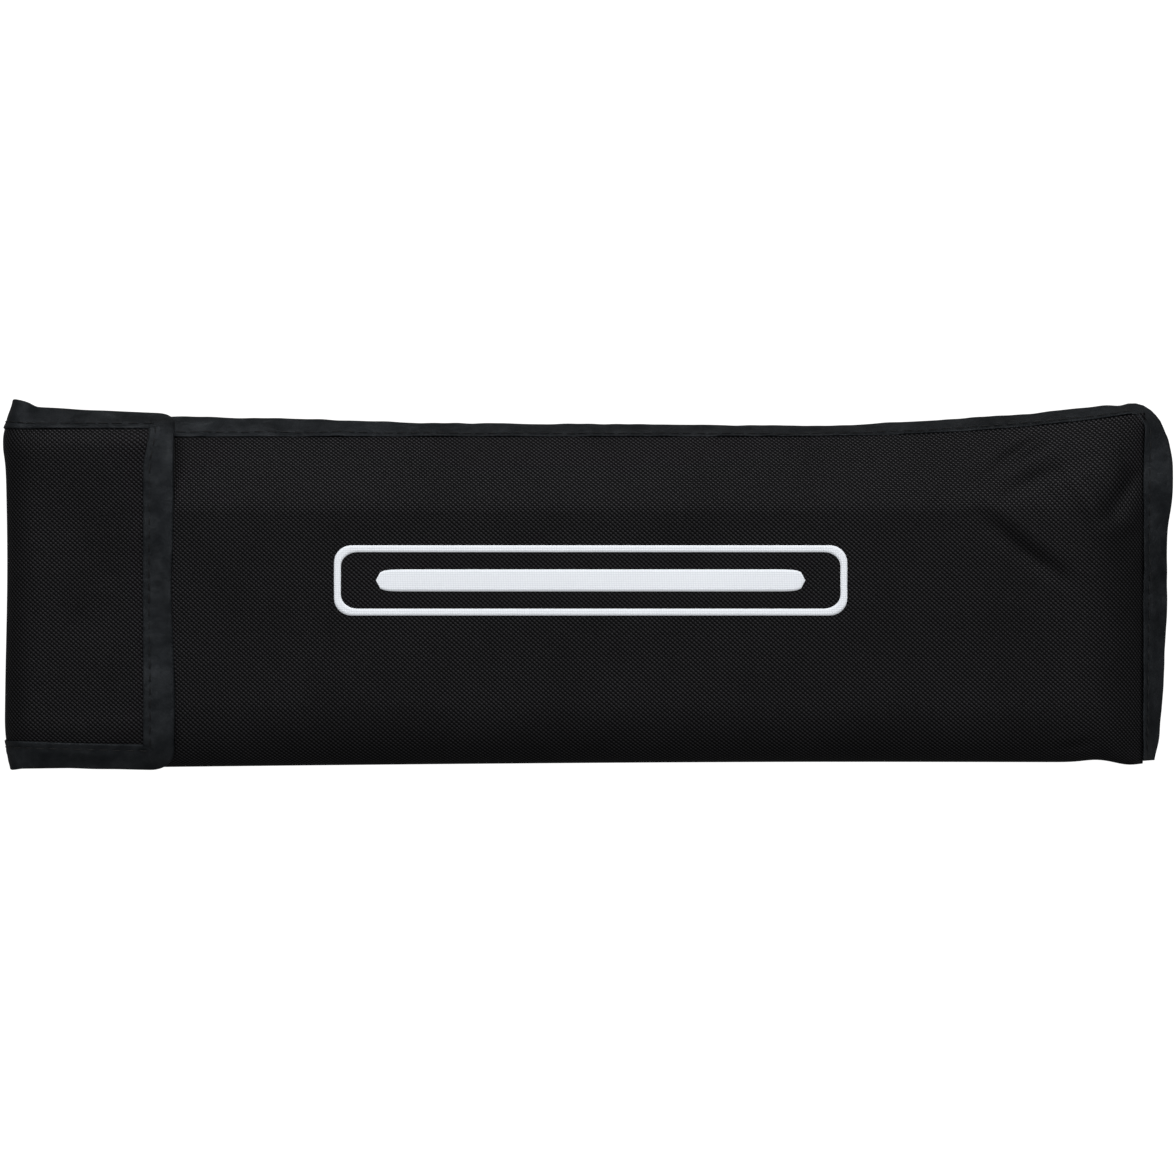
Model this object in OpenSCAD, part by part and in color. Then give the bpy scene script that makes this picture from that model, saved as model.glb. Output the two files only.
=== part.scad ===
// Strip softbox packed in its cloth carry pouch, lying flat on its back layer.
// Millimetres. +X runs to the sewn end, +Y to the bound long seam, +Z up.
// The origin is under the middle of the closed pouch, on the table.

/* [Pouch] */
// Overall length, from the flap's fold to the outer edge of the end binding
pouch_l = 450; // [445:1:455]
// Height of the filled pouch, from the table to its top cloth
pouch_h = 25.4; // [25:0.1:26]
// Height of the long seam, the end seam and the folded edge
seam_h = 12; // [11.5:0.1:12.5]
// Distance from the middle line to the bound long seam
seam_y = 58.5; // [58:0.1:60]
// Distance from the middle line to the folded long edge
fold_y = 67; // [66.5:0.1:68]
// Thickness of the pouch cloth
cloth_t = 0.8; // [0.6:0.1:0.8]

/* [Binding tape] */
// Width of the tape that shows on each side of an edge
tape_w = 11.7; // [10:0.1:12]
// Thickness of one layer of tape
tape_t = 0.6; // [0.4:0.1:0.6]
// Downward slope of the long seam's bound edge, in degrees
fin_slope = 55; // [50:1:60]

/* [Flap] */
// Width of the flap, binding included
flap_w = 141; // [139:1:143]
// Reach of the flap over the front, from its fold to its free edge
flap_reach = 66.8; // [60:0.1:70]
// Radius of the flap's rounded corner, on the folded side of the pouch
flap_corner_r = 7.7; // [5:0.1:9]
// Width of the hook tape and of the loop tape
grip_tape_w = 25; // [16:1:25]
// Length of the hook tape and of the loop tape
grip_tape_l = 66; // [50:1:70]

/* [Speed ring] */
// Place of the ring's centre along the pouch
ring_x = -130; // [-132:1:-128]
// Place of the ring's centre across the pouch
ring_y = -8.5; // [-9:0.1:-8]
// Outer radius of the ring
ring_r = 45; // [44:0.1:45]
// Height of the ring
ring_h = 20; // [19:0.1:20]
// Outer radius of the turning insert
insert_r = 33; // [32:0.1:33.5]
// Radius of the insert's clear opening, inside which its lugs stand
throat_r = 25; // [24.5:0.1:26]
// Radius of the sockets that take the rods
socket_r = 2.7; // [2.6:0.05:3]

/* [Rods] */
// Radius of a rod
rod_r = 2.5; // [2:0.1:2.5]
// Length of a rod, end caps included
rod_l = 367; // [350:1:367]
// Distance between neighbouring rods, centre to centre
rod_pitch = 6.6; // [6.5:0.05:6.6]

/* [Hidden] */

// Pouch: how the filled tube narrows to its edges and to its sewn end
bag_black = "#1d1d1f";
tape_black = "#2c2e30";
fall_power = 1.7;
fold_flat_low_y = 50;
fold_flat_top_y = 45;
shoulder_y = 30;
under_y = 46;
end_x = pouch_l / 2 - 10.4;
end_top_x = end_x - 22.6;
end_under_x = end_x - 14.6;
mouth_x = -pouch_l / 2 + 5.4;
flange_w = 9.2;
pinch = 1.6;

// Flap: both folds turn about lines on the cloth's inner face
gap = 0.1;
loop_t = 0.9;
hook_t = 0.8;
hinge_x = -pouch_l / 2 + tape_t + cloth_t;
low_hinge_z = tape_t + cloth_t;
top_hinge_z = pouch_h + loop_t + gap + hook_t;
flap_edge_x = hinge_x + flap_reach - cloth_t - tape_t;
flap_cloth_w = flap_w - 2 * tape_t;
fold_room = 1.6;
grip_tape_x = -199;
grip_tape_y = -8;

// Contents: the lowest face of everything inside, just off the cloth
floor_z = cloth_t + 0.4;
run_gap = 0.1;
lip_h = 3;
lip_r = insert_r - 2;
plate_t = 2.3;
plate_r = insert_r + 5.8;
plate_seat_h = plate_t + run_gap;
insert_h = ring_h - lip_h - plate_seat_h - 2 * run_gap;
lug_angle = 36;
lug_reach = 3;
screw_r = 1.45;
screw_head_r = 2.3;
screw_ring_r = insert_r + 2.9;
socket_tilt = 15;
socket_depth = 10;
stud_r = 2.5;
grip_r = 6.5;
grip_l = 11;
knob_z = floor_z + ring_h / 2;
rod_end_x = 202;
rod_low_y = 41;
rod_low_z = 5.6;
cap_r = 3.2;
cap_l = 9;
cap_depth = 6;
fine = 64;

// ---- shared shapes ----

// Carries a drawing in Y and Z along X, from x0 to x1
module along_x(x0, x1) translate([x0, 0, 0]) rotate([90, 0, 90]) linear_extrude(x1 - x0) children();

// Carries a drawing in X and Z along Y, from y0 to y1
module along_y(y0, y1) translate([0, y1, 0]) rotate([90, 0, 0]) linear_extrude(y1 - y0) children();

// A box between two corners
module block(low, high) translate(low) cube(high - low);

// A flat rectangle with round corners, centred
module round_rect(w, h, r) {
    square([w - 2 * r, h], center = true);
    square([w, h - 2 * r], center = true);
    for (sx = [-1, 1], sy = [-1, 1])
        translate([sx * (w / 2 - r), sy * (h / 2 - r)]) circle(r, $fn = fine);
}

// Outline of the filled tube across the pouch, shrunk by e all round. The folded edge is two
// quarter ellipses; the other edge falls as a power of the distance, down to the seam.
function tube_outline(e) = let (tip_y = seam_y - pinch * e, top_z = pouch_h - e) concat(
    [for (a = [0:18:90])
        [-fold_flat_low_y - (fold_y - e - fold_flat_low_y) * sin(a), seam_h - (seam_h - e) * cos(a)]],
    [for (a = [75:-15:0])
        [-fold_flat_top_y - (fold_y - e - fold_flat_top_y) * sin(a), seam_h + (top_z - seam_h) * cos(a)]],
    [for (t = [0:0.125:1])
        [shoulder_y + (tip_y - shoulder_y) * t, top_z - (top_z - seam_h) * pow(t, fall_power)]],
    [for (t = [0.8:-0.2:0])
        [under_y + (tip_y - under_y) * t, e + (seam_h - e) * pow(t, fall_power)]]);

// Outline of the pouch seen from its side, shrunk by e, from x0 to the sewn end
function side_outline(e, x0) = let (tip_x = end_x - pinch * e, top_z = pouch_h - e) concat(
    [[x0, top_z]],
    [for (t = [0:0.125:1])
        [end_top_x + (tip_x - end_top_x) * t, top_z - (top_z - seam_h) * pow(t, fall_power)]],
    [for (t = [0.8:-0.2:0])
        [end_under_x + (tip_x - end_under_x) * t, e + (seam_h - e) * pow(t, fall_power)]],
    [[x0, e]]);

// The filled pouch as a solid: what its end view and its side view share
module filled(e, x0) intersection() {
    along_x(x0, pouch_l / 2) polygon(tube_outline(e));
    along_y(-flap_w / 2, flap_w / 2) polygon(side_outline(e, x0));
}

// The wall of the filled pouch, between shrinkages e0 and e1, open at x0
module wall(e0, e1, x0) difference() {
    filled(e0, x0);
    filled(e1, x0 - pouch_l);
}

// Everything above the seams, and everything below them
module over_seam() block([-pouch_l, -flap_w, seam_h], [pouch_l, flap_w, 2 * pouch_h]);
module under_seam() block([-pouch_l, -flap_w, -pouch_h], [pouch_l, flap_w, seam_h]);

// The frame of the long seam's bound edge: local X runs outwards down the slope
module at_long_seam() translate([seam_y - 0.8, seam_h]) rotate(-fin_slope) children();

// The edge of one layer of cloth that is sewn into the two seams, on one side of them
module seam_edges(x0, side) {
    along_x(x0, end_x - 2.6) at_long_seam()
        translate([-0.5, side > 0 ? 0 : -cloth_t]) square([flange_w + 0.5, cloth_t]);
    block([end_x - 1.4, 1 - fold_y, side > 0 ? seam_h : seam_h - cloth_t],
        [end_x + flange_w - 0.4, seam_y - 0.5, side > 0 ? seam_h + cloth_t : seam_h]);
}

// ---- pouch ----

// Front layer of the one cut of cloth, from the folded edge to the two seams
module front_panel() color(bag_black) {
    intersection() {
        wall(0, cloth_t, mouth_x);
        over_seam();
    }
    seam_edges(mouth_x, 1);
}

// Back layer, which the pouch lies on and which the flap is hinged to
module back_panel() color(bag_black) difference() {
    union() {
        intersection() {
            wall(0, cloth_t, hinge_x + cloth_t + gap);
            under_seam();
        }
        seam_edges(mouth_x, -1);
    }
    front_panel();
}

// Tape folded over the long seam
module long_seam_binding() color(tape_black) difference() {
    along_x(mouth_x, end_x - 2.6) at_long_seam() translate([1.6, -cloth_t - tape_t])
        square([tape_w - 1.6, 2 * (cloth_t + tape_t)]);
    along_x(-pouch_l, pouch_l) at_long_seam() translate([-1, -cloth_t]) square([flange_w + 1, 2 * cloth_t]);
}

// Tape folded over the end seam
module end_seam_binding() color(tape_black) difference() {
    block([end_x + 0.4, 1 - fold_y, seam_h - cloth_t - tape_t],
        [pouch_l / 2, seam_y + 6, seam_h + cloth_t + tape_t]);
    block([end_x - 2, -fold_y, seam_h - cloth_t], [end_x + flange_w - 0.4, seam_y - 0.5, seam_h + cloth_t]);
}

// Tape folded over the front layer's edge at the mouth
module mouth_binding() color(tape_black) intersection() {
    difference() {
        wall(-tape_t, cloth_t + tape_t, mouth_x - tape_t);
        wall(0, cloth_t, mouth_x);
    }
    block([mouth_x - tape_t, -fold_y - tape_t, seam_h + 0.4], [mouth_x + tape_w, seam_y - 5, 2 * pouch_h]);
}

// Loop half of the closure, sewn on the front layer under the flap
module loop_tape() color("#242426")
    block([grip_tape_x, grip_tape_y - grip_tape_l / 2, pouch_h],
        [grip_tape_x + grip_tape_w, grip_tape_y + grip_tape_l / 2, pouch_h + loop_t]);

// ---- flap ----

// Round fold of the cloth along a hinge line
module fold_bead(z) translate([hinge_x, flap_cloth_w / 2, z]) rotate([90, 0, 0])
    cylinder(flap_cloth_w, r = cloth_t, $fn = fine);

// Part of the flap that closes the mouth
module flap_end_panel() color(bag_black) {
    fold_bead(low_hinge_z);
    block([hinge_x - cloth_t, -flap_cloth_w / 2, low_hinge_z],
        [hinge_x, flap_cloth_w / 2, top_hinge_z - cloth_t - gap]);
}

// Tape folded over the two short edges of the end panel
module flap_end_binding() color(tape_black) for (side = [0, 1]) mirror([0, side, 0]) difference() {
    block([hinge_x - cloth_t - tape_t, flap_w / 2 - tape_w, low_hinge_z + fold_room],
        [hinge_x + tape_t, flap_w / 2, top_hinge_z - fold_room]);
    block([hinge_x - cloth_t, 0, 0], [hinge_x, flap_cloth_w / 2, top_hinge_z]);
}

// Plan of the flap's front part, shrunk by e: square at the fold, one round corner and one blunt
module flap_plan(e, x0) {
    x1 = flap_edge_x - e;
    y0 = e - flap_w / 2;
    y1 = flap_w / 2 - e;
    r = max(flap_corner_r - e, 1);
    translate([x0, y0 + r]) square([x1 - x0, y1 - y0 - r - 2]);
    translate([x0, y0]) square([x1 - x0 - r, y1 - y0]);
    translate([x1 - r, y0 + r]) circle(r, $fn = fine);
    polygon([[x1 - r, y1 - 2], [x1, y1 - 2], [x1 - 2, y1], [x1 - r, y1]]);
}

// Part of the flap that lies over the front
module flap_front_panel() color(bag_black) {
    fold_bead(top_hinge_z);
    translate([0, 0, top_hinge_z]) linear_extrude(cloth_t) flap_plan(tape_t, hinge_x);
}

// Tape folded over the three free edges of the flap's front part
module flap_binding() color(tape_black) difference() {
    translate([0, 0, top_hinge_z - tape_t]) linear_extrude(cloth_t + 2 * tape_t)
        flap_plan(0, hinge_x + fold_room);
    translate([0, 0, top_hinge_z]) linear_extrude(cloth_t) flap_plan(tape_t, hinge_x - 1);
    block([hinge_x - 1, tape_w - flap_w / 2, 0], [flap_edge_x - tape_w, flap_w / 2 - tape_w, 2 * pouch_h]);
}

// Hook half of the closure, sewn inside the flap
module hook_tape() color("#242426")
    block([grip_tape_x, grip_tape_y - grip_tape_l / 2, top_hinge_z - hook_t],
        [grip_tape_x + grip_tape_w, grip_tape_y + grip_tape_l / 2, top_hinge_z]);

// ---- speed ring ----

module at_ring(z) translate([ring_x, ring_y, floor_z + z]) children();

// Places of the plate's screws
module at_screws() for (a = [30:60:330]) rotate(a) translate([screw_ring_r, 0, 0]) children();

// Cast ring, with four blind sockets for the rods and a seat for the insert
module speed_ring() color("#3a3b3d") at_ring(0) difference() {
    cylinder(ring_h, r = ring_r, $fn = fine);
    translate([0, 0, -1]) cylinder(ring_h, r = lip_r, $fn = fine);
    translate([0, 0, lip_h]) cylinder(ring_h, r = insert_r + run_gap, $fn = fine);
    translate([0, 0, ring_h - plate_seat_h]) cylinder(ring_h, r = plate_r + run_gap, $fn = fine);
    for (a = [45:90:315]) rotate(a) translate([ring_r, 0, ring_h / 2 + 1]) rotate([0, 90 - socket_tilt, 0])
        translate([0, 0, -socket_depth]) cylinder(2 * socket_depth, r = socket_r, $fn = fine);
    translate([-ring_r - 1, 0, ring_h / 2]) rotate([0, 90, 0])
        cylinder(ring_r - insert_r + 2, r = stud_r + run_gap, $fn = fine);
    translate([0, 0, ring_h - 9]) at_screws() cylinder(9, r = screw_r + 0.05, $fn = fine);
}

// Plate that keeps the insert in the ring
module retaining_ring() color("#505255") at_ring(ring_h - plate_t) difference() {
    cylinder(plate_t, r = plate_r, $fn = fine);
    translate([0, 0, -1]) cylinder(plate_t + 2, r = lip_r, $fn = fine);
    translate([0, 0, -1]) at_screws() cylinder(plate_t + 2, r = screw_r + 0.05, $fn = fine);
    translate([0, 0, plate_t - 1]) at_screws() cylinder(2, r = screw_head_r + 0.05, $fn = fine);
}

// Six screws of the plate
module ring_screws() color("#a8aaad") at_ring(0) at_screws() {
    translate([0, 0, ring_h - 8.5]) cylinder(8, r = screw_r, $fn = fine);
    difference() {
        translate([0, 0, ring_h - 1]) cylinder(0.9, r = screw_head_r, $fn = fine);
        translate([0, 0, ring_h - 0.5]) cylinder(1, r = 1, $fn = 6);
    }
}

// Insert that locks onto the light, with three bayonet lugs, free to turn in the ring
module mount_insert() color("#6b6e72") at_ring(lip_h + run_gap) {
    difference() {
        cylinder(insert_h, r = insert_r, $fn = fine);
        translate([0, 0, -1]) cylinder(insert_h + 2, r = throat_r, $fn = fine);
    }
    for (a = [0:120:240]) rotate(a) rotate_extrude(angle = lug_angle, $fn = fine)
        translate([throat_r - lug_reach, 2]) square([lug_reach + 0.5, 3]);
}

// The frame of the lock's screw: local Z runs out of the ring, away from the packed cloth
module at_lock() translate([ring_x - ring_r, ring_y, knob_z]) rotate([0, -90, 0]) children();

// Fluted grip of the lock
module lock_knob() color("#1f2022") at_lock() translate([0, 0, 2]) difference() {
    cylinder(grip_l, r = grip_r, $fn = fine);
    for (a = [0:45:315]) rotate(a) translate([grip_r + 0.9, 0, -1]) cylinder(grip_l + 2, r = 1.8, $fn = fine);
    translate([0, 0, -1]) cylinder(7, r = stud_r, $fn = fine);
}

// Steel stud of the lock, whose tip stops just short of the insert
module lock_stud() color("#b0b2b5") at_lock()
    translate([0, 0, insert_r + 0.4 - ring_r]) cylinder(ring_r - insert_r - 0.4 + 8, r = stud_r, $fn = fine);

// ---- rods ----

// The middle line of rod n, from its end nearest the mouth: two rods side by side, in two layers
module at_rod(n) translate([rod_end_x - rod_l, rod_low_y + rod_pitch * ((n - 1) % 2),
    rod_low_z + rod_pitch * floor((n - 1) / 2)]) rotate([0, 90, 0]) children();

module rod(n) color("#c4c6c9") at_rod(n) translate([0, 0, cap_l - cap_depth])
    cylinder(rod_l - 2 * (cap_l - cap_depth), r = rod_r, $fn = fine);
module rod_1() rod(1);
module rod_2() rod(2);
module rod_3() rod(3);
module rod_4() rod(4);

// End caps of the rods, two on each
module rod_caps() color("#202123") for (n = [1:4]) at_rod(n) difference() {
    union() for (z = [0, rod_l - cap_l]) translate([0, 0, z]) cylinder(cap_l, r = cap_r, $fn = fine);
    translate([0, 0, cap_l - cap_depth]) cylinder(rod_l - 2 * (cap_l - cap_depth), r = rod_r + 0.02, $fn = fine);
}

// Two hook-and-loop straps round the bundle of rods
module rod_straps() color("#222224") for (x = [-58, 118]) along_x(x, x + 20)
    translate([rod_low_y + rod_pitch / 2, rod_low_z + rod_pitch / 2]) difference() {
        round_rect(rod_pitch + 2 * rod_r + 2.2, rod_pitch + 2 * rod_r + 2.2, rod_r + 1.1);
        round_rect(rod_pitch + 2 * rod_r + 0.2, rod_pitch + 2 * rod_r + 0.2, rod_r + 0.1);
    }

// ---- folded cloth ----

// A flat folded pack of cloth between two corners, with round corners in plan
module folded_pack(x0, x1, y0, y1, z0, z1) translate([(x0 + x1) / 2, (y0 + y1) / 2, z0])
    linear_extrude(z1 - z0) round_rect(x1 - x0, y1 - y0, 8);

// Tapered shell of the softbox, black outside and silver inside
module shell_pack() color("#17181a") folded_pack(-78, 188, -52, 35, floor_z, 12);

// Thin white cloth that hangs inside the softbox
module inner_baffle_pack() color("#f2f2ee") folded_pack(-72, 180, -50, 30, 12.3, 14.6);

// White front cloth of the softbox
module front_diffuser_pack() color("#fafaf6") folded_pack(-76, 186, -51, 33, 14.9, 18.4);

// Folded cloth grid that narrows the beam
module grid_pack() color("#141415") folded_pack(-70, 176, -46, 28, 18.7, 23.6);

front_panel();
back_panel();
long_seam_binding();
end_seam_binding();
mouth_binding();
loop_tape();
flap_end_panel();
flap_end_binding();
flap_front_panel();
flap_binding();
hook_tape();
speed_ring();
retaining_ring();
ring_screws();
mount_insert();
lock_knob();
lock_stud();
rod_1();
rod_2();
rod_3();
rod_4();
rod_caps();
rod_straps();
shell_pack();
inner_baffle_pack();
front_diffuser_pack();
grid_pack();
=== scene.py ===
"""Strip softbox packed in its cloth carry pouch: finished surfaces round the CAD frame.

Shapes are worked out in millimetres in the row frame and put into meshes in metres. +X runs to
the sewn end, +Y to the bound long seam, +Z up, and the pouch lies on its back layer.
"""
import math

import bpy
import numpy as np
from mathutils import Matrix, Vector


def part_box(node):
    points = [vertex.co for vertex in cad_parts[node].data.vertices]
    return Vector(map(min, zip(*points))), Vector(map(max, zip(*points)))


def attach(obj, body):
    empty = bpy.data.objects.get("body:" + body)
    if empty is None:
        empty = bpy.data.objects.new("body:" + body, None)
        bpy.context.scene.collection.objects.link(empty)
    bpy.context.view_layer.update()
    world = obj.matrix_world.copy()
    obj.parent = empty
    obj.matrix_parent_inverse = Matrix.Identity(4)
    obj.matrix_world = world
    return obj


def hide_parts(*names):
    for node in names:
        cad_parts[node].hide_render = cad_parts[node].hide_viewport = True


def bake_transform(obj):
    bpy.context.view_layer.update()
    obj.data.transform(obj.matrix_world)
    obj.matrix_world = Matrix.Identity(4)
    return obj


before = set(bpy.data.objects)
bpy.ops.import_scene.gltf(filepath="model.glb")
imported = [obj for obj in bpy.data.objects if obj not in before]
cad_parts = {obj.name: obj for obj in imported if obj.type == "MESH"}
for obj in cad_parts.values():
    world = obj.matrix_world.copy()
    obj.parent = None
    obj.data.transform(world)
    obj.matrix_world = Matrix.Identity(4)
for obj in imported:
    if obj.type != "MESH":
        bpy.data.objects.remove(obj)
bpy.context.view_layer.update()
MM = 0.001


def box_mm(node):
    """The lowest and highest corner of a CAD node, in millimetres."""
    low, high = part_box(node)
    return np.array(low) / MM, np.array(high) / MM


# ---- driving sizes, read from the frame ----

FRONT_LOW, FRONT_HIGH = box_mm("front_panel")
FIN_LOW, FIN_HIGH = box_mm("end_seam_binding")

MOUTH_X = FRONT_LOW[0]
END_SEAM_X = FIN_LOW[0] - 1.0
FOLD_Y = -FRONT_LOW[1]
CROWN_Z = FRONT_HIGH[2] + 1.8
SEAM_Z = (FIN_LOW[2] + FIN_HIGH[2]) / 2

CLOTH = 0.7  # thickness of the pouch cloth
TAPE = 0.45  # thickness of the binding tape
TAPE_W = 11.7  # width of the tape that shows on each side of an edge
STITCH = 5.0  # pitch of the seams
STITCH_IN = 2.5  # from the tape's inner edge to its seam
YARN = (0.917, 0.836)  # pitch of the coarse weave, along and across the pouch
YARN_SKEW = math.tan(math.radians(3.4))  # lean of the yarns that run across


# ---- small helpers ----


def ease(t):
    """0 below 0, 1 above 1 and the smooth cubic 3t^2 - 2t^3 between."""
    t = np.clip(t, 0, 1)
    return t * t * (3 - 2 * t)


def hump(t, centre, width):
    """A bell curve of height 1 about a centre."""
    return np.exp(-(((t - centre) / width) ** 2))


def soft_noise(a, b, size, seed):
    """Sum of a dozen plane waves in random directions, about as long as size, kept near -1 to 1."""
    draw = np.random.default_rng(seed)
    total = np.zeros(np.broadcast(a, b).shape)
    for _ in range(12):
        way, lag, stretch = draw.uniform(0, 2 * np.pi), draw.uniform(0, 2 * np.pi), draw.uniform(0.7, 1.6)
        total += np.sin(2 * np.pi * (a * np.cos(way) + b * np.sin(way)) / (size * stretch) + lag)
    return total / 4


def valley(x, y, line, width):
    """1 on a broken line and 0 away from it, as a bell curve of the distance, fading out at both ends."""
    line = np.array(line, float)
    lengths = np.linalg.norm(np.diff(line, axis=0), axis=1)
    run = np.concatenate([[0], np.cumsum(lengths)]) / lengths.sum()
    best = np.full(np.broadcast(x, y).shape, np.inf)
    where = np.zeros(best.shape)
    for (ax, ay), (bx, by), lo, hi in zip(line[:-1], line[1:], run[:-1], run[1:]):
        dx, dy = bx - ax, by - ay
        t = np.clip(((x - ax) * dx + (y - ay) * dy) / (dx * dx + dy * dy), 0, 1)
        far = np.hypot(x - ax - t * dx, y - ay - t * dy)
        near = far < best
        where = np.where(near, lo + t * (hi - lo), where)
        best = np.where(near, far, best)
    return np.exp(-((best / width) ** 2)) * np.sin(np.pi * np.clip(where * 0.86 + 0.07, 0, 1))


def make_piece(name, points, faces, uv=None, smooth=True):
    """A mesh object from a list or grid of points in millimetres, faces of equal length, and an optional
    list or grid of cloth coordinates."""
    mesh = bpy.data.meshes.new(name)
    points, faces = np.asarray(points, float).reshape(-1, 3) * MM, np.asarray(faces, np.int32)
    sides = faces.shape[1]
    mesh.vertices.add(len(points))
    mesh.vertices.foreach_set("co", points.ravel())
    mesh.loops.add(faces.size)
    mesh.loops.foreach_set("vertex_index", faces.ravel())
    mesh.polygons.add(len(faces))
    mesh.polygons.foreach_set("loop_start", np.arange(len(faces), dtype=np.int32) * sides)
    if uv is not None:
        layer = mesh.uv_layers.new(name="cloth")
        uv = np.asarray(uv, float).reshape(-1, 2) * MM
        layer.data.foreach_set("uv", uv[faces.ravel()].ravel())
    mesh.update(calc_edges=True)
    mesh.validate()
    mesh.polygons.foreach_set("use_smooth", np.full(len(mesh.polygons), smooth))
    piece = bpy.data.objects.new(name, mesh)
    bpy.context.scene.collection.objects.link(piece)
    return piece


def grid_faces(rows, columns, close_rows=False, close_columns=False):
    """Quads of a grid of points stored row by row, optionally joined last to first either way."""
    index = np.arange(rows * columns).reshape(rows, columns)
    if close_rows:
        index = np.vstack([index, index[:1]])
    if close_columns:
        index = np.hstack([index, index[:, :1]])
    return np.stack([index[:-1, :-1], index[1:, :-1], index[1:, 1:], index[:-1, 1:]], -1).reshape(-1, 4)


def thicken(piece, thickness, offset=0.0):
    """Gives a sheet its thickness, in millimetres. Offset -1 grows it inwards and 0 both ways."""
    solid = piece.modifiers.new("thickness", "SOLIDIFY")
    solid.thickness, solid.offset, solid.use_even_offset = thickness * MM, offset, False
    return piece


def dress(piece, material, body=None, blend=None, nodes=None):
    """Gives a piece its material and slot, and hides the nodes it replaces. A piece on one body is parented
    to that body; a piece that spans a bend only has its place baked into its points.
    """
    piece.data.materials.append(MATERIALS[material])
    if blend:
        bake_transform(piece)
    else:
        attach(piece, body)
    if nodes is not None:
        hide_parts(*nodes)


def unit(v):
    """Vectors at length 1."""
    return v / np.maximum(np.linalg.norm(v, axis=-1, keepdims=True), 1e-12)


# ---- camera, lights and floor ----


def make_camera():
    """Straight above the pouch with +Y up the view, at the distance where the view spans its width."""
    camera = bpy.data.objects.new("camera", bpy.data.cameras.new("camera"))
    camera.data.lens, camera.data.sensor_width = 150, 36
    span = 0.4514
    camera.location = (0, 0, 0.018 + span * camera.data.lens / camera.data.sensor_width)
    camera.data.clip_end = 20
    bpy.context.scene.collection.objects.link(camera)
    bpy.context.scene.camera = camera


def make_lamp(name, way, power, size):
    """A soft rectangular lamp that shines at the pouch. way is (azimuth from +X, elevation, distance)."""
    azimuth, elevation, distance = math.radians(way[0]), math.radians(way[1]), way[2]
    lamp = bpy.data.objects.new(name, bpy.data.lights.new(name, "AREA"))
    lamp.data.energy, lamp.data.shape = power, "RECTANGLE"
    lamp.data.size, lamp.data.size_y = size
    lamp.location = (distance * math.cos(elevation) * math.cos(azimuth),
                     distance * math.cos(elevation) * math.sin(azimuth),
                     distance * math.sin(elevation))
    lamp.rotation_mode = "QUATERNION"
    lamp.rotation_quaternion = (-lamp.location).to_track_quat("-Z", "Y")
    bpy.context.scene.collection.objects.link(lamp)


def make_studio():
    """A pale floor, a bright room and soft lamps, the strongest from the side of the bound seam."""
    scene = bpy.context.scene
    scene.view_settings.view_transform = "Standard"
    world = bpy.data.worlds.new("room")
    world.use_nodes = True
    tree = world.node_tree
    tree.nodes["Background"].inputs["Color"].default_value = (1, 1, 1, 1)
    split = tree.nodes.new("ShaderNodeSeparateXYZ")
    tree.links.new(tree.nodes.new("ShaderNodeTexCoord").outputs["Generated"], split.inputs[0])
    height = tree.nodes.new("ShaderNodeMapRange")
    height.inputs["To Min"].default_value = 0.2
    height.inputs["To Max"].default_value = 0.8
    tree.links.new(split.outputs["Z"], height.inputs["Value"])
    tree.links.new(height.outputs[0], tree.nodes["Background"].inputs["Strength"])
    scene.world = world
    make_lamp("key", (90, 32, 2.4), 48, (2.6, 0.6))
    make_lamp("right", (10, 30, 2.6), 3, (1.2, 0.8))
    side = 4000
    corners = [(-side, -side, -0.2), (side, -side, -0.2), (side, side, -0.2), (-side, side, -0.2)]
    floor = make_piece("floor", corners, [(0, 1, 2, 3)], smooth=False)
    floor.data.materials.append(floor_material())


# ---- materials ----


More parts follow.
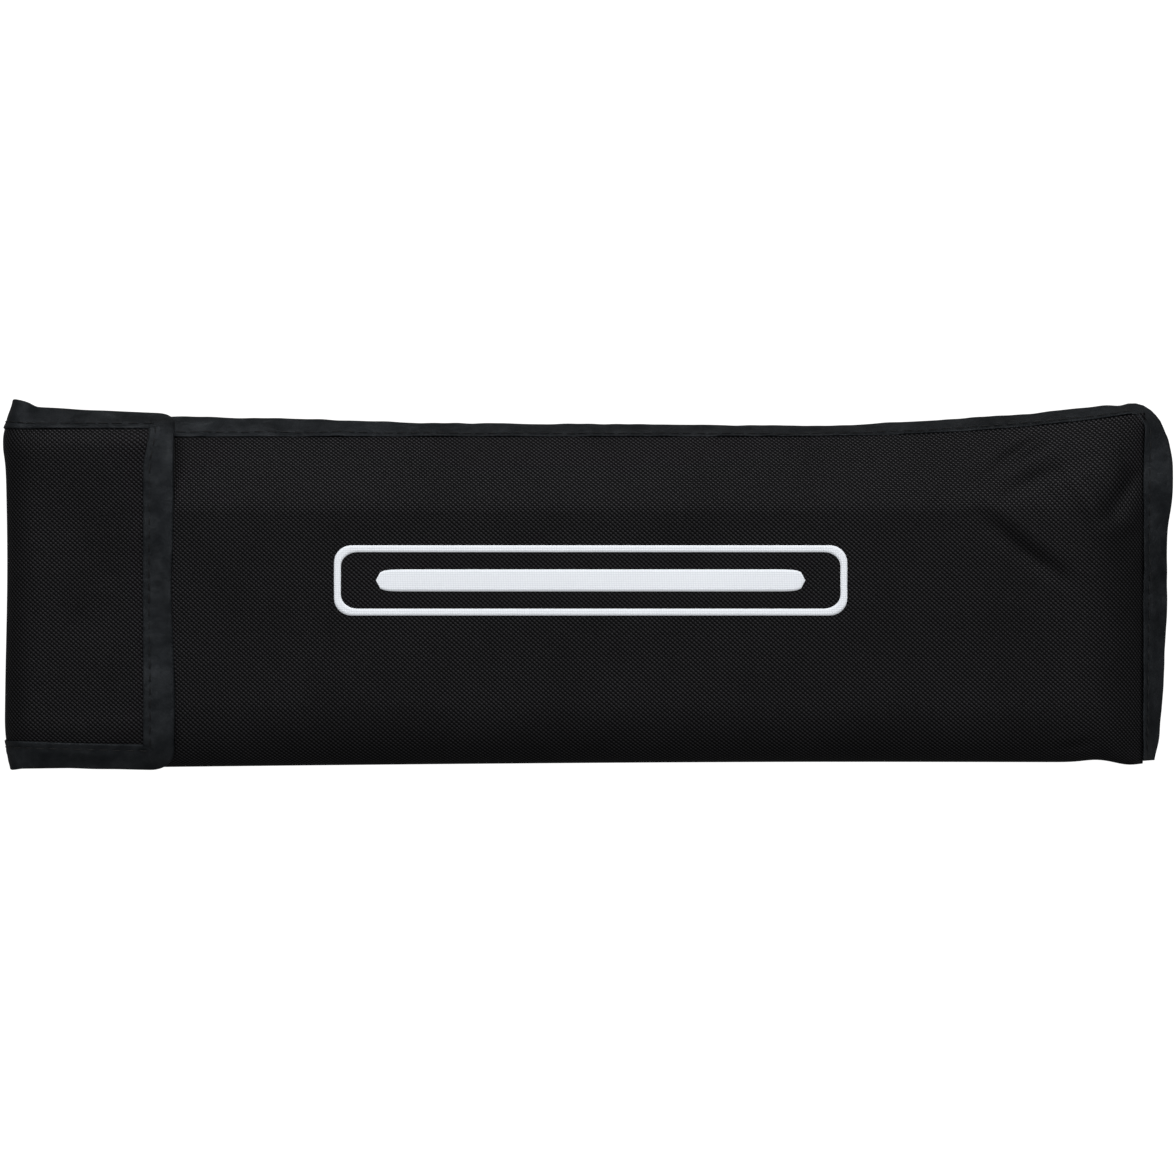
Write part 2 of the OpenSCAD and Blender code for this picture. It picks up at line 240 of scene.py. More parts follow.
class Nodes:
    """A material's node tree, with short calls for the nodes that are used again and again."""

    def __init__(self, name):
        self.material = bpy.data.materials.new(name)
        self.material.use_nodes = True
        self.tree = self.material.node_tree
        self.shader = self.tree.nodes["Principled BSDF"]

    def add(self, kind, **settings):
        node = self.tree.nodes.new(kind)
        for key, value in settings.items():
            setattr(node, key, value)
        return node

    def link(self, source, target):
        self.tree.links.new(source, target)

    def put(self, socket, value):
        if isinstance(value, bpy.types.NodeSocket):
            self.link(value, socket)
        else:
            socket.default_value = value

    def maths(self, operation, a, b=0.0, clamp=False):
        node = self.add("ShaderNodeMath", operation=operation, use_clamp=clamp)
        self.put(node.inputs[0], a)
        self.put(node.inputs[1], b)
        return node.outputs[0]

    def mix(self, factor, a, b):
        """Mixes two colours or two numbers by a factor."""
        number = not (hasattr(a, "__len__") or getattr(a, "type", "") == "RGBA"
                      or hasattr(b, "__len__") or getattr(b, "type", "") == "RGBA")
        node = self.add("ShaderNodeMix", data_type="FLOAT" if number else "RGBA")
        sockets = (0, 2, 3) if number else (0, 6, 7)
        self.put(node.inputs[sockets[0]], factor)
        for socket, value in ((sockets[1], a), (sockets[2], b)):
            self.put(node.inputs[socket], (*value, 1) if hasattr(value, "__len__") else value)
        return node.outputs[0 if number else 2]

    def noise(self, vector, scale, detail=3.0, roughness=0.5):
        node = self.add("ShaderNodeTexNoise")
        self.link(vector, node.inputs["Vector"])
        node.inputs["Scale"].default_value = scale
        node.inputs["Detail"].default_value = detail
        node.inputs["Roughness"].default_value = roughness
        return node.outputs["Fac"]

    def place(self):
        """Object coordinates, in metres."""
        return self.add("ShaderNodeTexCoord").outputs["Object"]

    def cloth_place(self):
        """The piece's own cloth coordinates, in metres along and across its weave, as two numbers."""
        split = self.add("ShaderNodeSeparateXYZ")
        self.link(self.add("ShaderNodeUVMap", uv_map="cloth").outputs["UV"], split.inputs[0])
        return split.outputs["X"], split.outputs["Y"]

    def finish(self, colour, roughness, height=None, depth=0.0002, specular=0.5, tint=(1.0, 1.0, 1.0),
               metallic=0.0):
        """Wires the shader. Constants go on its own sockets; height makes a bump of depth, in metres."""
        shader = self.shader
        self.put(shader.inputs["Base Color"], (*colour, 1) if hasattr(colour, "__len__") else colour)
        self.put(shader.inputs["Roughness"], roughness)
        self.put(shader.inputs["Specular IOR Level"], specular)
        shader.inputs["Metallic"].default_value = metallic
        shader.inputs["Specular Tint"].default_value = (*tint, 1)
        if height is not None:
            bump = self.add("ShaderNodeBump")
            bump.inputs["Strength"].default_value = 1.0
            bump.inputs["Distance"].default_value = depth
            self.link(height, bump.inputs["Height"])
            self.link(bump.outputs["Normal"], shader.inputs["Normal"])
        return self.material


def floor_material():
    """A white sweep on which no shadow shows. It sends little light back to the pouch's sides."""
    nodes = Nodes("floor_paint")
    nodes.shader.inputs["Emission Color"].default_value = (1, 1, 1, 1)
    seen = nodes.add("ShaderNodeLightPath").outputs["Is Camera Ray"]
    nodes.link(seen, nodes.shader.inputs["Emission Strength"])
    return nodes.finish((0.16, 0.16, 0.16), 1.0, specular=0.0)


def weave(nodes, pitch, skew=0.0, lean=0.0):
    """Height and painted light of a plain weave. Each yarn is a row of arches, |sin| of the distance over its
    pitch, and the lengthwise yarn is on top where both yarn numbers add up to an even one. The light is
    painted
    light: 1 on the crowns where the lengthwise yarn is on top and 0.22 where the other yarn is, as the lamp
    catches the one more, and 0 in the gaps, which is painted shade. Lean favours one diagonal with painted
    light, as light falls on yarns that lie askew."""
    along, across = nodes.cloth_place()
    if skew:
        along = nodes.maths("ADD", along, nodes.maths("MULTIPLY", across, skew))
    u = nodes.maths("DIVIDE", along, pitch[0] * MM)
    v = nodes.maths("DIVIDE", across, pitch[1] * MM)
    arch_u = nodes.maths("ABSOLUTE", nodes.maths("SINE", nodes.maths("MULTIPLY", u, math.pi)))
    arch_v = nodes.maths("ABSOLUTE", nodes.maths("SINE", nodes.maths("MULTIPLY", v, math.pi)))
    count = nodes.maths("ADD", nodes.maths("FLOOR", u), nodes.maths("FLOOR", v))
    odd = nodes.maths("PINGPONG", count, 1.0)
    top = nodes.mix(odd, arch_v, arch_u)
    low = nodes.mix(odd, arch_u, arch_v)
    height = nodes.maths("MULTIPLY", nodes.maths("POWER", top, 0.6), nodes.maths("POWER", low, 0.35))
    # painted highlight on the crowns, 1 on the lengthwise yarn and 0.22 on the other, and painted shade in
    # the gaps
    light = nodes.maths("MULTIPLY", height, nodes.mix(odd, 1.0, 0.22))
    # painted light: lean brightens one diagonal
    if lean:
        slant = nodes.maths("COSINE", nodes.maths("MULTIPLY", nodes.maths("ADD", u, v), math.pi))
        light = nodes.maths("ADD", light, nodes.maths("MULTIPLY", slant, lean), clamp=True)
    return height, light


def pouch_cloth_material():
    """Coarse black plain weave: yarn crowns lighter than the gaps by painted light and painted shade, cloudy
    wear, a broad dull sheen.
    """
    nodes = Nodes("pouch_cloth")
    height, light = weave(nodes, YARN, YARN_SKEW, -0.3)
    cloud = nodes.noise(nodes.place(), 34, 4)
    fine = nodes.noise(nodes.place(), 420, 2)
    wear = nodes.maths("ADD", nodes.maths("MULTIPLY", cloud, 0.8), nodes.maths("MULTIPLY", fine, 0.5))
    # painted shade colour for the gaps, painted highlight colour for the crowns, blended by the weave's
    # painted light times the wear
    gap_shade, yarn = (0.0008, 0.0008, 0.0009), (0.0104, 0.0103, 0.0118)
    colour = nodes.mix(nodes.maths("MULTIPLY", light, wear), gap_shade, yarn)
    shine = nodes.mix(nodes.maths("MULTIPLY", light, nodes.mix(cloud, 0.7, 1.3)), 0.045, 0.225)
    rough = nodes.mix(cloud, 0.40, 0.54)
    return nodes.finish(colour, rough, height, 0.00016, shine, tint=(0.97, 0.955, 1.0))


def tape_material():
    """Smooth black tape of fine weave with a soft gloss, streaked where it has been creased; its colour is
    mottled with painted light and shade, lighter and darker patches that stand for light falling on the
    creases.
    """
    nodes = Nodes("binding_tape")
    height = weave(nodes, (0.42, 0.36))[0]
    cloud = nodes.noise(nodes.place(), 130, 4, 0.6)
    patch = nodes.noise(nodes.place(), 30, 3)
    # painted light and shade: patch, then cloud, make the colour lighter and darker in patches, for light on
    # the creased tape
    base = nodes.mix(nodes.maths("POWER", patch, 2.0), (0.0004, 0.0006, 0.0008), (0.0105, 0.0125, 0.0150))
    colour = nodes.mix(nodes.maths("MULTIPLY", cloud, 0.14), base, (0.018, 0.021, 0.025))
    streak = nodes.noise(nodes.place(), 210, 4, 0.65)
    crease = nodes.maths("ADD", nodes.maths("ADD", cloud, nodes.maths("MULTIPLY", height, 0.12)), streak)
    gloss = nodes.maths("MULTIPLY", nodes.maths("POWER", cloud, 2.0), streak, clamp=True)
    shine = nodes.mix(gloss, 0.07, 1.0)
    return nodes.finish(colour, nodes.mix(cloud, 0.3, 0.48), crease, 0.0006, shine, tint=(0.87, 0.93, 1.0))


def thread_material():
    """Black polyester thread, a little glossier than the tape it holds."""
    nodes = Nodes("thread")
    twist = nodes.maths("SINE", nodes.maths("MULTIPLY", nodes.cloth_place()[0], 2 * math.pi / 0.0005))
    return nodes.finish((0.0035, 0.0036, 0.0040), 0.5, twist, 0.00003, 0.2)


def print_material():
    """White screen print that follows the weave, thinner where a yarn dips."""
    nodes = Nodes("white_print")
    height = weave(nodes, YARN, YARN_SKEW)[0]
    cover = nodes.noise(nodes.place(), 900, 2)
    colour = nodes.mix(nodes.maths("MULTIPLY", height, nodes.maths("MULTIPLY_ADD", cover, 0.4)),
                       (0.70, 0.73, 0.78), (0.90, 0.93, 0.97))
    return nodes.finish(colour, 0.6, height, 0.00008, 0.3)


# ---- the pouch's shape ----


def crown(x):
    """Height of the pouch's flat top along its length: lower over the ring near the mouth."""
    return CROWN_Z - 4.8 * (1 - ease((x - MOUTH_X) / 130))


def seam_height(x):
    """Height of the seams: half way up the side, rising to the filled corner at the sewn end."""
    return SEAM_Z + 4 * ease((x - 105) / 105)


def seam_line(x):
    """Distance of the long seam from the middle line: straight, then flaring to the sewn corner."""
    return 58.2 + 8.9 * (np.maximum(x - 60, 0) / 152) ** 2.5


def fold_line(x):
    """Distance of the folded edge from the middle line: a long hollow with a small ear at the sewn end."""
    hollow = FOLD_Y - 0.4 + 1.9 * (np.maximum(90 - x, 0) / 246) ** 1.5
    return hollow - 0.9 * hump(x, 196, 7) + 1.0 * hump(x, 209, 6)


def end_line(y):
    """Place of the end seam along the pouch: a straight line that leans a little."""
    return END_SEAM_X - 0.9 * (58 - y) / 125


SHOULDER_Y, FOLD_TOP_Y, FOLD_LOW_Y, UNDER_Y = 28.5, 43.5, 50.0, 46.0


def shoulder_fall(t):
    """How far the shoulder has fallen, 0 to 1: a power of the distance, rounded where it starts."""
    soft = 0.006
    return ((t * t + soft) ** 0.7 - soft**0.7) / ((1 + soft) ** 0.7 - soft**0.7)


def closing(x, start, power):
    """How open the pouch still is, 1 down to 0, as it closes to the end seam from start."""
    return 1 - np.clip((x - start) / (END_SEAM_X - start), 0, 1) ** power


CREASES = [
    # (line in x and y, width, depth): creases that run into the filled corner
    ([(176, 59.5), (166, 52.5), (156, 46.5)], 2.6, 1.5),
    ([(193, 50), (183, 46), (173, 42), (158, 35)], 3.2, 1.2),
    ([(170, 44), (175, 36), (180, 28)], 3.0, 1.0),
    ([(213.5, 47.5), (208, 40), (199, 27)], 3.6, 2.1),
    ([(150, 28), (166, 14), (184, 2)], 3.0, 1.6),
    ([(204, 57), (207, 49), (206, 41)], 3.0, 0.6),
    ([(179, -62), (194, -59)], 2.0, 0.8),
]
SWELLS = [
    ([(165, 58), (150, 48), (138, 43)], 5.0, 0.9),
    ([(184, 58), (172, 50), (160, 43)], 3.4, 0.9),
    ([(177, 56), (186, 43), (196, 26), (200, 16)], 4.2, 1.5),
    ([(152, 34), (168, 22), (188, 6)], 4.0, 1.2),
    ([(216, 29), (205, 24), (196, 20)], 4.0, 1.3),
]


def front_relief(x, y):
    """Creases, swells and slow unevenness of the front, all measured straight up."""
    relief = 0.22 * soft_noise(x, y, 95, 3) + 0.07 * soft_noise(x, y, 30, 8)
    for line, width, depth in CREASES:
        relief = relief - depth * valley(x, y, line, width)
    for line, width, rise in SWELLS:
        relief = relief + rise * valley(x, y, line, width)
    return relief


def pouch_section():
    """Columns of the section, from the seam over the front to the fold and back under to the seam.
    Each is (kind, t): kinds are shoulder, top, fold over, fold under, base and underside corner."""
    parts = [(0, np.linspace(1, 0, 40)[:-1]), (1, np.linspace(0, 1, 60)[:-1]),
             (2, np.linspace(0, 1, 24)[:-1]), (3, np.linspace(0, 1, 14)[:-1]),
             (4, np.linspace(0, 1, 26)[:-1]), (5, np.linspace(0, 1, 12))]
    kind = np.concatenate([np.full(len(t), k) for k, t in parts])
    return kind, np.concatenate([t for _, t in parts])


def pouch_surface(rows=250):
    """The cloth tube of the pouch. Its top is seam height + (crown - seam height) * section * closing,
    where section is 1 on the flat, a power fall on the shoulder and a quarter ellipse at the fold."""
    kind, t = pouch_section()
    u = np.linspace(0, 1, rows) ** 1.0
    x = MOUTH_X + u[:, None] * (END_SEAM_X - MOUTH_X) + 0 * t
    seam, fold = seam_line(x), fold_line(x)
    angle = t * np.pi / 2
    y = np.select(
        [kind == 0, kind == 1, kind == 2, kind == 3, kind == 4],
        [SHOULDER_Y + (seam - SHOULDER_Y) * t,
         SHOULDER_Y - (SHOULDER_Y + FOLD_TOP_Y) * t,
         -FOLD_TOP_Y - (fold - FOLD_TOP_Y) * np.sin(angle),
         -FOLD_LOW_Y - (fold - FOLD_LOW_Y) * np.cos(angle),
         -FOLD_LOW_Y + (UNDER_Y + FOLD_LOW_Y) * t],
        UNDER_Y + (seam - UNDER_Y) * t)
    section = np.select(
        [kind == 0, kind == 2, kind == 3, kind == 5],
        [1 - shoulder_fall(t) + 0 * x, np.cos(angle) + 0 * x, np.sin(angle) + 0 * x, 1 - t**1.7 + 0 * x], 1.0)
    low = seam_height(x)
    over = low + (crown(x) - low) * section * closing(x, 187, 2.3)
    over = over + front_relief(x, y) * np.minimum(section * closing(x, 187, 2.3) * 4, 1)
    under = low - (low - CLOTH / 2) * section * closing(x, 198, 1.8)
    x = x + (end_line(y) - END_SEAM_X) * ease((x - 150) / 60)
    points = np.stack([x, y, np.where(kind <= 2, over, under)], -1)
    return points


def sheet_uv(points):
    """Cloth coordinates of a grid: distances along the rows' direction and across, on the sheet itself."""
    down = np.linalg.norm(np.diff(points, axis=0), axis=-1)
    over = np.linalg.norm(np.diff(points, axis=1), axis=-1)
    u = np.vstack([np.zeros((1, points.shape[1])), np.cumsum(down, axis=0)])
    v = np.hstack([np.zeros((points.shape[0], 1)), np.cumsum(over, axis=1)])
    u = np.repeat(u[:, u.shape[1] // 4][:, None], points.shape[1], 1)
    v = np.repeat(v[v.shape[0] // 2][None], points.shape[0], 0)
    return np.stack([u, -v], -1)


def make_pouch():
    """The one cut of cloth that makes the pouch."""
    points = pouch_surface()
    rows, columns = points.shape[:2]
    piece = make_piece("pouch_cloth", points, grid_faces(rows, columns)[:, ::-1], sheet_uv(points))
    thicken(piece, CLOTH)
    dress(piece, "pouch_cloth", "pouch", nodes=("front_panel", "back_panel"))
    return piece


# ---- binding of the two seams ----


def even_path(points, step):
    """A broken line again, with points at even distances of about step."""
    run = np.concatenate([[0], np.cumsum(np.linalg.norm(np.diff(points, axis=0), axis=1))])
    at = np.linspace(0, run[-1], int(round(run[-1] / step)) + 1)
    return at, np.stack([np.interp(at, run, points[:, k]) for k in range(points.shape[1])], 1)


def seam_path(step=1.25):
    """Base line of the seam tape: along the long seam, round the sewn corner and down the end seam."""
    corner_r = 4.0
    x = np.linspace(MOUTH_X + 1, END_SEAM_X - 4.4, 200)
    x = x - 0.7
    long_part = np.stack([x, seam_line(x) - 0.7, seam_height(x)], 1)
    end_y = seam_line(x[-1]) - 0.7 - corner_r
    turn = np.linspace(0, np.pi / 2, 10)[1:-1]
    corner = np.stack([x[-1] + corner_r * np.sin(turn), end_y + corner_r * np.cos(turn),
                       np.full(len(turn), seam_height(x[-1]))], 1)
    y = np.linspace(end_y, 0.6 - FOLD_Y, 90)
    end_part = np.stack([end_line(y) - 0.7, y, seam_height(END_SEAM_X) + 0 * y], 1)
    return even_path(np.vstack([long_part, corner, end_part]), step)


def seam_slope(points):
    """How steeply the tape falls from the seam, in degrees, along the long seam and then down the end."""
    x, y = points[:, 0], points[:, 1]
    along = np.interp(x, [-220, -156, -110, -64, 12, 90, 120, 151, 181, 200, 209],
                      [42, 44, 51, 61, 63.5, 68, 64, 62, 64.5, 63, 74])
    down = np.interp(-y, [-64, -59, -54, -48, -38, -31, -24, -11, 11, 21, 43, 59, 65],
                     [60, 33, 22, 11, 3, 16, 30, 31, 30, 36, 42, 52, 62])
    return np.where(x > END_SEAM_X - 4.2, down, along)


def seam_frame():
    """Places, outward directions and upward normals along the seam tape, with the distance run."""
    run, base = seam_path()
    ahead = unit(np.gradient(base, axis=0))
    out = unit(np.stack([-ahead[:, 1], ahead[:, 0], 0 * run], 1))
    slope = np.radians(seam_slope(base))
    kernel = np.hanning(11) / np.hanning(11).sum()
    slope = np.convolve(np.pad(slope, 5, "edge"), kernel, "valid")
    up = np.array([0, 0, 1.0])
    way = out * np.cos(slope)[:, None] - up * np.sin(slope)[:, None]
    normal = out * np.sin(slope)[:, None] + up * np.cos(slope)[:, None]
    return run, base, ahead, way, normal


def stitch_dip(run, inset):
    """Depth that the seam pulls the tape down: a groove, deepest between two stitches' ends."""
    return (0.16 + 0.10 * np.cos(2 * np.pi * run / STITCH)) * hump(inset, TAPE_W - STITCH_IN, 0.9)


def tape_ripple(run, inset, seed):
    """Slow unevenness of a tape, from its own pull: longer along it than across."""
    return 0.16 * soft_noise(run / 3.0, inset, 7, seed) + 0.10 * soft_noise(run, inset * 0.5, 11, seed + 1)


def tape_profile(half, top=16, edge=7):
    """Closed outline of a folded tape round a cloth edge, as (inset, height), with the inset counted from
    the folded edge inwards and the height from the middle of the cloth."""
    inset = np.linspace(TAPE_W, half, top)
    turn = np.linspace(np.pi / 2, -np.pi / 2, edge + 2)[1:-1]
    tip = np.stack([half - half * np.cos(turn), half * np.sin(turn)], 1)
    over = np.stack([inset, np.full(top, half)], 1)
    under = np.stack([inset[::-1], np.full(top, -half)], 1)
    inner = half - TAPE
    back = np.stack([[TAPE_W, half + 1.2, half + 1.2, TAPE_W], [-inner, -inner, inner, inner]], 1)
    return np.vstack([over, tip, under, back])


def make_seam_binding():
    """Tape folded over both seams, swept along them: base + way * (width - inset) + normal * height."""
    run, base, ahead, way, normal = seam_frame()
    outline = tape_profile(CLOTH + TAPE + 0.15)
    inset, height = outline[:, 0][None], outline[:, 1][None]
    at = run[:, None]
    wave = tape_ripple(at, inset, 21) + 0.8 * hump(at, 452, 9) * (1 - inset / TAPE_W)
    lift = height + wave - np.where(height > 0, 1, -1) * stitch_dip(at, inset)
    points = base[:, None] + way[:, None] * (TAPE_W - inset)[..., None] + normal[:, None] * lift[..., None]
    rows, columns = points.shape[:2]
    uv = np.stack([at + 0 * inset, np.cumsum(np.abs(np.diff(inset, prepend=TAPE_W)), 1) + 0 * at], -1)
    piece = make_piece("seam_binding", points, grid_faces(rows, columns, close_columns=True), uv)
    cap_ends(piece, rows, columns)
    dress(piece, "binding_tape", "pouch", nodes=("long_seam_binding", "end_seam_binding"))
    stitch_places = np.arange(STITCH / 2, run[-1] - 1, STITCH)
    make_stitches("seam_stitches", *seam_stitch_frames(stitch_places, run, base, ahead, way, normal))
    return piece


def cap_ends(piece, rows, columns):
    """Closes the two ends of a swept outline with one face each, fanned by Blender."""
    import bmesh
    mesh = bmesh.new()
    mesh.from_mesh(piece.data)
    mesh.verts.ensure_lookup_table()
    mesh.faces.new([mesh.verts[i] for i in range(columns)])
    mesh.faces.new([mesh.verts[(rows - 1) * columns + i] for i in reversed(range(columns))])
    bmesh.ops.recalc_face_normals(mesh, faces=mesh.faces)
    mesh.to_mesh(piece.data)
    mesh.free()


def pick(at, run, values):
    """Values of a swept line at other distances along it."""
    return np.stack([np.interp(at, run, values[:, k]) for k in range(values.shape[1])], 1)


def seam_stitch_frames(places, run, base, ahead, way, normal):
    """Centres and axes of the stitches on both sides of the seam tape."""
    inset = TAPE_W - STITCH_IN
    middle = pick(places, run, base) + pick(places, run, way) * (TAPE_W - inset)
    along, up = unit(pick(places, run, ahead)), unit(pick(places, run, normal))
    lift = CLOTH + TAPE + 0.15 + tape_ripple(places, inset, 21) - stitch_dip(places, inset) + 0.08
    low = -(CLOTH + TAPE + 0.15) + tape_ripple(places, inset, 21) + stitch_dip(places, inset) - 0.08
    centres = np.vstack([middle + up * lift[:, None], middle + up * low[:, None]])
    return centres, np.vstack([along, along]), np.vstack([up, up])


def make_stitches(name, centres, along, up, body="pouch", blend=None):
    """Stitches as short round-ended threads: an ellipse of revolution 3.9 mm long and 0.5 mm thick."""
    sides, rings = 6, 7
    angle = np.linspace(0, 2 * np.pi, sides, endpoint=False)
    t = np.linspace(-1, 1, rings)
    swell = np.sqrt(np.clip(1 - np.abs(t) ** 2.6, 0.0, 1)) * 0.25
    swell[[0, -1]] = 0.04
    local = np.stack([np.repeat(t * 1.95, sides), np.outer(swell, np.cos(angle)).ravel(),
                      np.outer(swell, np.sin(angle)).ravel() - np.repeat(0.22 * np.abs(t) ** 3, sides)], 1)
    side = unit(np.cross(up, along))
    points = (centres[:, None] + along[:, None] * local[None, :, :1] + side[:, None] * local[None, :, 1:2]
              + up[:, None] * local[None, :, 2:])
    one = grid_faces(rings, sides, close_columns=True)
    ends = np.array([[0, 1, 2, 5], [2, 3, 4, 5]])
    ends = np.vstack([ends, (rings - 1) * sides + ends[:, ::-1]])
    one = np.vstack([one, ends])
    count = len(centres)
    faces = (one[None] + np.arange(count)[:, None, None] * rings * sides).reshape(-1, 4)
    uv = np.stack([np.tile(local[:, 0], count), np.tile(local[:, 1], count)], 1)
    piece = make_piece(name, points, faces, uv)
    dress(piece, "thread", body, blend)
    return piece


# ---- places on the pouch's front ----


def front_point(x, y, lift):
    """Points lift above the flat part of the pouch's front."""
    low, shut = seam_height(x), closing(x, 187, 2.3)
    z = low + (crown(x) - low) * shut + front_relief(x, y) * np.minimum(shut * 4, 1)
    return np.stack([x + (end_line(y) - END_SEAM_X) * ease((x - 150) / 60), y, z + CLOTH / 2 + lift], -1)


def rounded_box(half_x, half_y, radius, corner=9):
    """Outline of a rectangle with round corners about the origin, as x and y."""
    turn = np.linspace(0, np.pi / 2, corner)
    points = []
    for k, (cx, cy) in enumerate([(1, 1), (-1, 1), (-1, -1), (1, -1)]):
        a = turn + k * np.pi / 2
        points.append(np.stack([cx * (half_x - radius) + radius * np.cos(a),
                                cy * (half_y - radius) + radius * np.sin(a)], 1))
    return np.vstack(points)


def fine_loop(points, step):
    """A closed outline again with points at even distances of about step."""
    closed = np.vstack([points, points[:1]])
    return even_path(closed, step)[1][:-1]


def make_print():
    """The generic picture of a strip light on the front: a long rounded frame with a solid bar in it."""
    middle_x, middle_y, half_x, half_y, line = 1.0, 2.9, 98.0, 13.4, 2.6
    outer = fine_loop(rounded_box(half_x, half_y, 6.5), 1.5)
    inner = outer * (np.array([half_x, half_y]) - line) / np.array([half_x, half_y])
    t = np.linspace(0, 1, 4)[:, None, None]
    ring = (outer * (1 - t) + inner * t) + (middle_x, middle_y)
    frame_points = front_point(ring[..., 0], ring[..., 1], 0.12)
    rows, columns = ring.shape[:2]
    parts = [("frame", frame_points, grid_faces(rows, columns, close_columns=True), ring)]
    bar_x, bar_y = np.meshgrid(np.linspace(-1, 1, 100), np.linspace(-1, 1, 9), indexing="ij")
    bar = np.stack([middle_x + 82 * bar_x, middle_y + 4.2 * bar_y * np.sqrt(1 - bar_x**40)], -1)
    parts.append(("bar", front_point(bar[..., 0], bar[..., 1], 0.12), grid_faces(100, 9), bar))
    for name, points, faces, flat in parts:
        piece = make_piece("print_" + name, points, faces, flat)
        thicken(piece, 0.12)
        dress(piece, "white_print", "pouch")


# ---- the flap ----


def smooth_path(points, step):
    """A Catmull-Rom curve through the points, then points on it at even distances: distance and place."""
    points = np.asarray(points, float)
    whole = np.vstack([2 * points[0] - points[1], points, 2 * points[-1] - points[-2]])
    t = np.linspace(0, 1, 12, endpoint=False)[:, None]
    bits = []
    for a, b, c, d in zip(whole[:-3], whole[1:-2], whole[2:-1], whole[3:]):
        bits.append(0.5 * (2 * b + (c - a) * t + (2 * a - 5 * b + 4 * c - d) * t**2
                           + (3 * b - a - 3 * c + d) * t**3))
    return even_path(np.vstack(bits + [points[-1:]]), step)


FLAP_RUN, FLAP_LINE = smooth_path([
    (-206, 1.3), (-215, 1.3), (-220.6, 2.0), (-223.4, 5), (-224.2, 9.5), (-224.0, 15), (-222.7, 19.8),
    (-219.6, 23.8), (-214.6, 26.5), (-208.5, 27.6), (-200, 27.9), (-192, 27.8), (-184, 27.1), (-176, 26.0),
    (-168, 25.3), (-158.4, 25.0)], 0.5)
FLAP_TOP = 28.1  # the cloth's middle stays under this, so the opened flap lies on the floor
FLAP_FAR = -225.0  # the flap's end doesn't stand out past this
FLAP_END = FLAP_RUN[-1]
FLAP_MID = FLAP_RUN[np.argmax(FLAP_LINE[:, 1] > 12.5)]
FLAP_WAY = unit(np.gradient(FLAP_LINE, axis=0))


def flap_halves(q):
    """Distances of the flap's upper and lower long edges from the middle line, on the cloth itself."""
    s = np.clip((np.interp(q, FLAP_RUN, FLAP_LINE[:, 0]) + 222) / 63, 0, 1) * (q > FLAP_MID)
    hem = 6.5 * (1 - ease(q / FLAP_MID))
    return 73.0 - hem + 0.2 * s, 70.2 - hem + 1.8 * s


def wing(w, start, ramp, tilt):
    """(reach, drop) of cloth at distance w beyond start, whose tilt grows evenly to tilt over ramp."""
    t = np.clip(w - start, 0, None)
    inside = np.minimum(t, ramp)
    k = np.maximum(tilt, 1e-3) / ramp
    reach = np.sin(k * inside) / k + (t - inside) * np.cos(tilt)
    drop = (1 - np.cos(k * inside)) / k + (t - inside) * np.sin(tilt)
    return np.where(w < start, w, start + reach), drop


def flap_bumps(x, w, front):
    """Unevenness of the flap's front, straight out of the cloth."""
    bumps = 0.16 * soft_noise(x, w, 42, 31) + 0.06 * soft_noise(x, w, 14, 33)
    bumps = bumps + 0.7 * hump(x, -187, 7) * hump(w, -28, 8)
    bumps = bumps - 0.5 * hump(x, -163, 3.0) * hump(w + 0.7 * x, -119, 4)
    bumps = bumps + 0.6 * hump(x, -203, 8) * hump(w, 2, 11) - 0.6 * hump(x, -200, 7) * hump(w, 27, 12)
    bumps = bumps - 0.5 * hump(x, -196, 10) * hump(w, -12, 9)
    return bumps * front


def flap_point(q, w, lift=0.0):
    """The flap's surface: its side profile at distance q from its sewn edge, and beyond the flat middle two
    wings that tilt down, both measured along the profile's own outward direction. lift is outwards too."""
    q, w = np.broadcast_arrays(q, w)
    px, pz = np.interp(q, FLAP_RUN, FLAP_LINE[:, 0]), np.interp(q, FLAP_RUN, FLAP_LINE[:, 1])
    wx, wz = np.interp(q, FLAP_RUN, FLAP_WAY[:, 0]), np.interp(q, FLAP_RUN, FLAP_WAY[:, 1])
    size = np.hypot(wx, wz)
    nx, nz = -wz / size, wx / size
    front = ease((q - FLAP_MID) / 18)
    s = np.clip((px + 222) / 63, 0, 1)
    up_y, up_drop = wing(w, 50.5 + 3 * s, 13.0, np.radians(13 + front * (27 + 26 * s)))
    low_y, low_drop = wing(-w, 50.0, 14.0, np.radians(12 + front * 21))
    y = np.where(w > 0, up_y, -low_y)
    drop = np.where(w > 0, up_drop, low_drop)
    pinch = ease((w - 46) / 14) * ease((q - FLAP_END + 26) / 22)
    past = np.clip((q - FLAP_END + 14) / 14, 0, 1)
    sewn = 1 - ease(q / 20)
    drop = drop + 4.5 * np.clip((np.abs(w) - 46) / 21, 0, 1) ** 1.7 * sewn
    drop = drop + pinch * 2.2 * past**1.5
    px = px + pinch * 3.6 * (1 - past)
    px = px + (0.7 * hump(w, 0, 18) * -1 + 0.5 * hump(w, -42, 14)) * past * front
    out = lift - drop + flap_bumps(px, w, front)
    bulge = (1.35 * hump(w, 58, 8) - 1.1 * hump(w, 10, 42)) * (1 - front) * (1 - sewn) ** 2
    z = pz + nz * (out + bulge)
    top = FLAP_TOP + lift
    z = np.where(z > top - 0.8, top - 0.8 * np.exp(-(z - top + 0.8) / 0.8), z)
    return np.stack([np.maximum(px + nx * (out + bulge), FLAP_FAR + 0.45 - 0.3 * lift), y, z], -1)


def flap_normal(q, w):
    """Outward unit normal of the flap's surface, from small steps both ways."""
    step = 0.25
    along = flap_point(q + step, w) - flap_point(q - step, w)
    across = flap_point(q, w + step) - flap_point(q, w - step)
    return unit(np.cross(along, across))


